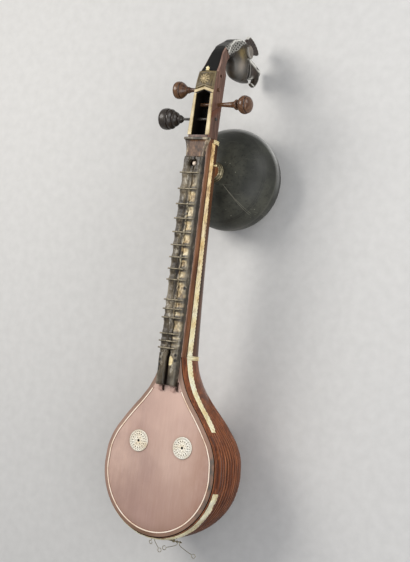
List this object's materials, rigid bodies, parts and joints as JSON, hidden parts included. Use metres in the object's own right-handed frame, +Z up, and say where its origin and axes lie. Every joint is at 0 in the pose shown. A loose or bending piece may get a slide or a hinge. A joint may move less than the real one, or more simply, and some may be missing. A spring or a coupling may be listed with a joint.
{
  "type": "veena",
  "caption": "South Indian long lute with a carved wooden bowl, a fretted neck with wax ridges, turned pegs, a beast's head scroll and a gourd resonator bolted under the neck.",
  "frame": {"origin": "middle of the small flat under the bowl, on the floor", "axes": "+Z up from the floor, +Y from the bowl along the neck towards the head, +X across the strings to the side of the lone right-hand peg"},
  "size_m": [0.33, 1.3487, 0.2879],
  "materials": {
    "bowl_wood": "polished, reddish brown, fluted",
    "soundboard_wood": "worn satin, pinkish brown",
    "pegbox_wood": "worn satin, pinkish brown",
    "carved_head": "dark lacquer over carving, worn, traces of silver and gold",
    "peg_wood": "turned and polished",
    "black_peg": "turned, ebonised, satin",
    "gourd_skin": "dark grey-green painted gourd, satin",
    "ivory": "aged ivory, satin, stained black in its engraving",
    "fret_wax": "hard dark wax, worn, with creamy patches",
    "fret_metal": "pale, satin",
    "brass": "aged, satin",
    "gilt": "worn gilding"
  },
  "bodies": {
    "instrument": {"bowl": "bowl_wood", "cover_boss": "gilt", "cover_knob": "ivory", "fret_01": "fret_metal", "fret_02": "fret_metal", "fret_03": "fret_metal", "fret_04": "fret_metal", "fret_05": "fret_metal", "fret_06": "fret_metal", "fret_07": "fret_metal", "fret_08": "fret_metal", "fret_09": "fret_metal", "fret_11": "fret_metal", "fret_12": "fret_metal", "fret_13": "fret_metal", "fret_15": "fret_metal", "fret_16": "fret_metal", "fret_17": "fret_metal", "gourd_bolt": "ivory", "gourd_seat": "bowl_wood", "head": "carved_head", "joint_band": "ivory", "left_fret_ridge": "fret_wax", "left_neck_strip": "ivory", "left_ridge_stub": "soundboard_wood", "left_rosette": "ivory", "left_shoulder_strip": "ivory", "left_slot_strip": "ivory", "neck": "bowl_wood", "neck_cover": "bowl_wood", "nut_panel": "ivory", "pegbox": "pegbox_wood", "pegbox_band": "ivory", "pegbox_cover": "carved_head", "purfling": "ivory", "right_fret_ridge": "fret_wax", "right_neck_strip": "ivory", "right_ridge_stub": "soundboard_wood", "right_rosette": "ivory", "right_shoulder_strip": "ivory", "right_slot_strip": "ivory", "side_post": "ivory", "slot_arch": "ivory", "soundboard": "soundboard_wood", "tail_plate": "brass", "tail_rod": "brass", "tail_strip": "ivory"},
    "gourd": {"gourd": "gourd_skin", "gourd_collar": "brass", "gourd_nut": "brass"},
    "upper_left_peg": {"upper_left_peg": "peg_wood"},
    "lower_left_peg": {"lower_left_peg": "black_peg"},
    "right_peg": {"right_peg": "peg_wood"},
    "far_left_wire": {"far_left_wire": "brass"},
    "left_wire": {"left_wire": "brass"},
    "right_wire": {"right_wire": "brass"},
    "far_right_wire": {"far_right_wire": "brass"}
  },
  "joints": [
    {"name": "gourd_turn", "type": "hinge", "parent": "instrument", "child": "gourd", "pos_m": [0, 0.74941, 0.19], "axis": [0, 0, 1], "continuous": true},
    {"name": "upper_left_peg_turn", "type": "hinge", "parent": "instrument", "child": "upper_left_peg", "pos_m": [-0.02772, 0.9406, 0.25234], "axis": [1, 0, 0], "continuous": true},
    {"name": "lower_left_peg_turn", "type": "hinge", "parent": "instrument", "child": "lower_left_peg", "pos_m": [-0.03055, 0.86673, 0.2475], "axis": [1, 0, 0], "continuous": true},
    {"name": "right_peg_turn", "type": "hinge", "parent": "instrument", "child": "right_peg", "pos_m": [0.0291, 0.90489, 0.24396], "axis": [1, 0, 0], "continuous": true},
    {"name": "far_left_wire_swing", "type": "hinge", "parent": "instrument", "child": "far_left_wire", "pos_m": [-0.042, -0.18033, 0.14818], "axis": [1, 0, 0], "range_deg": [-75, 90]},
    {"name": "left_wire_swing", "type": "hinge", "parent": "instrument", "child": "left_wire", "pos_m": [-0.033, -0.18033, 0.14818], "axis": [1, 0, 0], "range_deg": [-75, 90]},
    {"name": "right_wire_swing", "type": "hinge", "parent": "instrument", "child": "right_wire", "pos_m": [0.033, -0.18033, 0.14818], "axis": [1, 0, 0], "range_deg": [-75, 90]},
    {"name": "far_right_wire_swing", "type": "hinge", "parent": "instrument", "child": "far_right_wire", "pos_m": [0.042, -0.18033, 0.14818], "axis": [1, 0, 0], "range_deg": [-75, 90]}
  ]
}
